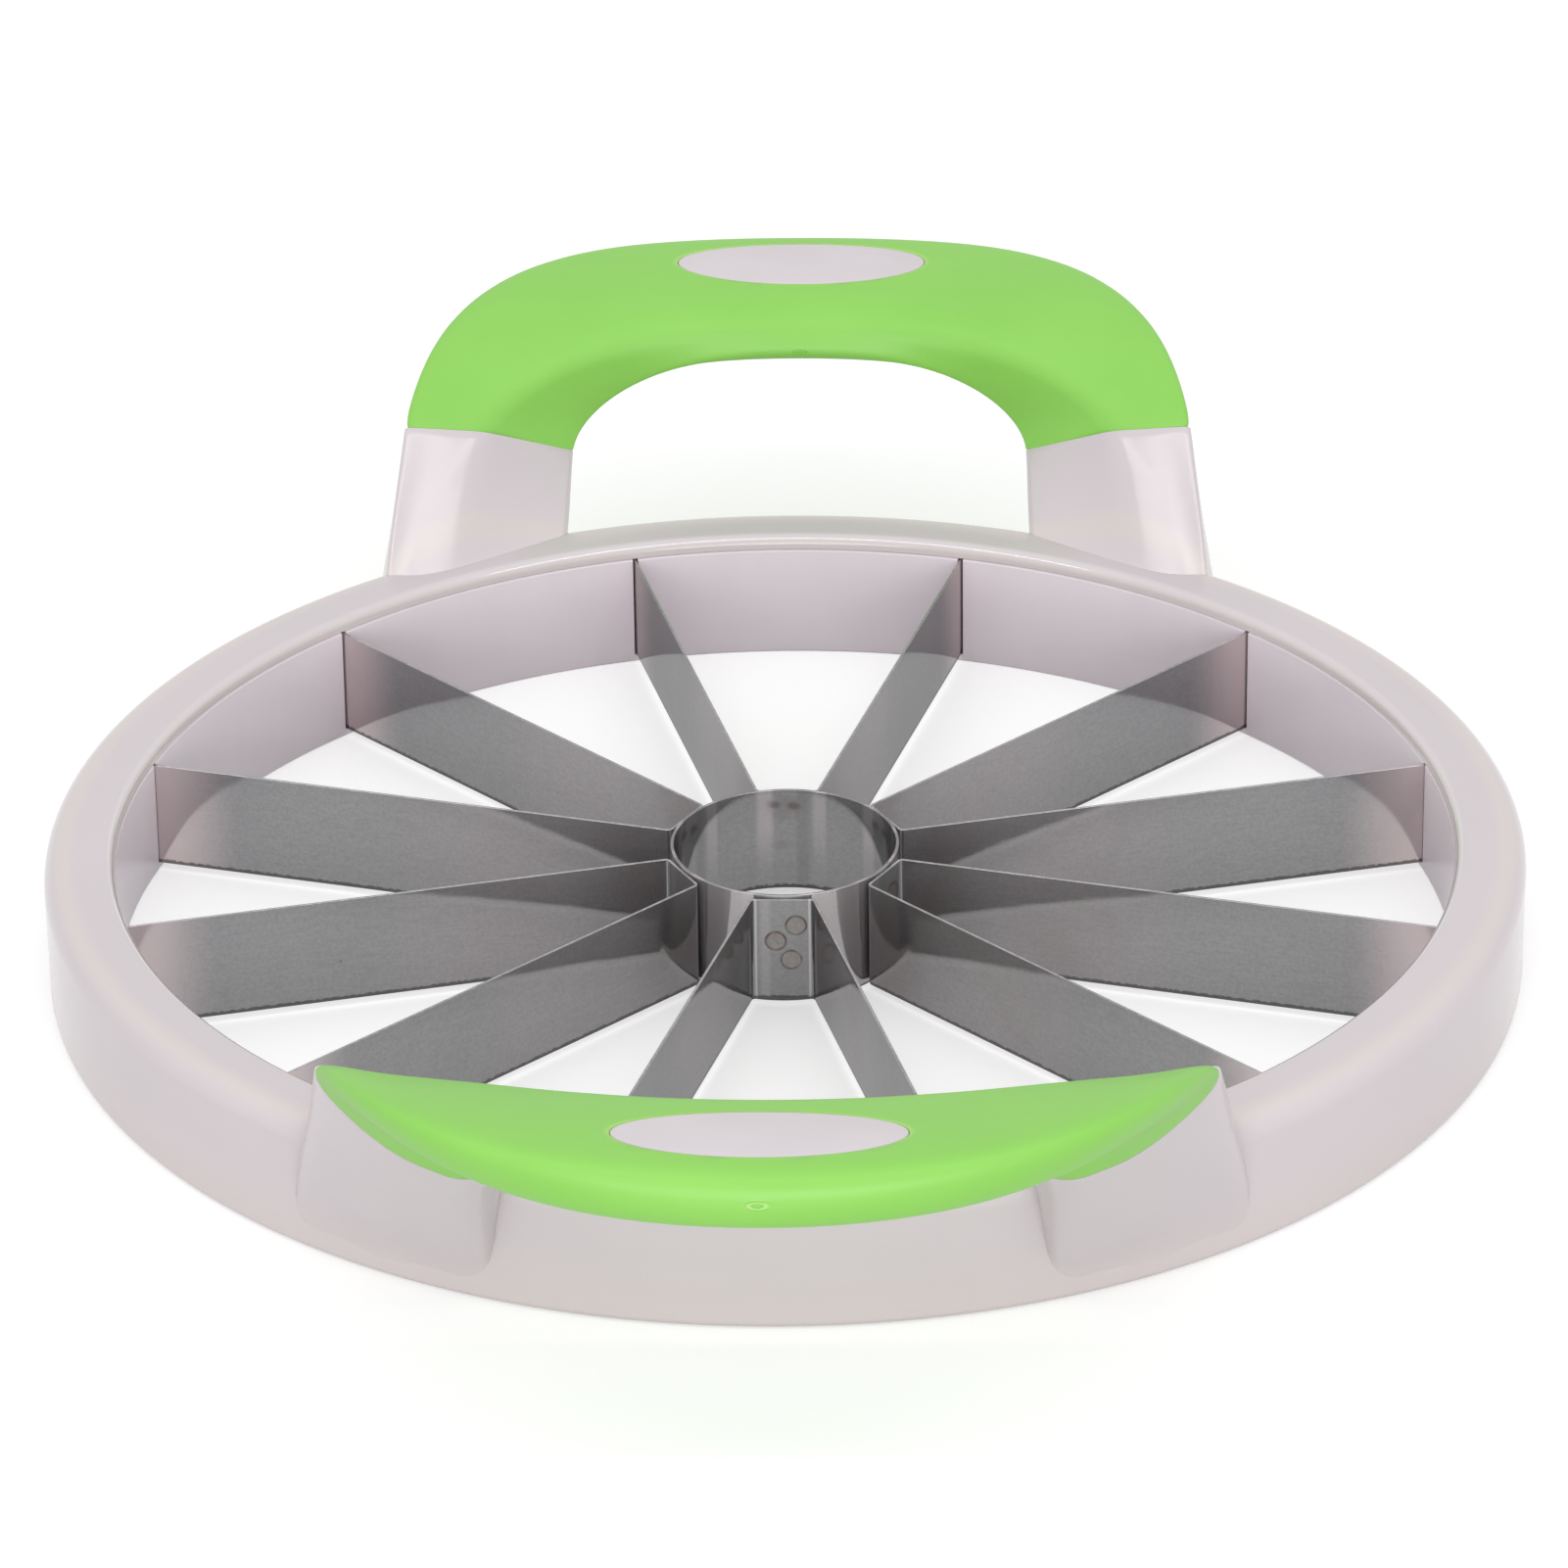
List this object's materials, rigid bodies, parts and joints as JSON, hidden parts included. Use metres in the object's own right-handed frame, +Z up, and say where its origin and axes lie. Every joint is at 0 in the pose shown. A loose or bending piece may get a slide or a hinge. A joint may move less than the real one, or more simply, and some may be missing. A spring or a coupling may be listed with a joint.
{
  "type": "watermelon slicer",
  "caption": "Round press-down melon slicer: a moulded ring holds radial steel blades around a core hoop, with raised soft-grip handles on opposite sides.",
  "frame": {"origin": "centre of the ring on the face it stands on", "axes": "+Z up along the ring's axis, +Y towards the rear handle, +X to the right seen from the front handle"},
  "size_m": [0.2808, 0.3928, 0.0637],
  "materials": {
    "white_shell": "smooth moulded white plastic with a soft gloss",
    "white_liner": "smooth moulded white plastic, slightly greyer than the shell",
    "white_badge": "smooth bare oval plate",
    "green_grip": "satin soft-touch elastomer",
    "blade_steel": "cold-rolled stainless sheet, nearly mirror-like",
    "weld_steel": "spot-welded stainless with a heat tint",
    "screw_steel": "plain steel screw"
  },
  "bodies": {
    "root": {"ring_shell": "white_shell", "blade_carrier": "white_liner", "blade_strip_rear": "blade_steel", "blade_strip_rear_right": "blade_steel", "blade_strip_front_right": "blade_steel", "blade_strip_front": "blade_steel", "blade_strip_front_left": "blade_steel", "blade_strip_rear_left": "blade_steel", "core_ring": "blade_steel", "weld_nuggets": "weld_steel", "carrier_screws": "screw_steel", "rear_handle_core": "white_shell", "front_handle_core": "white_shell", "rear_grip": "green_grip", "front_grip": "green_grip", "rear_badge": "white_badge", "front_badge": "white_badge"}
  },
  "joints": []
}
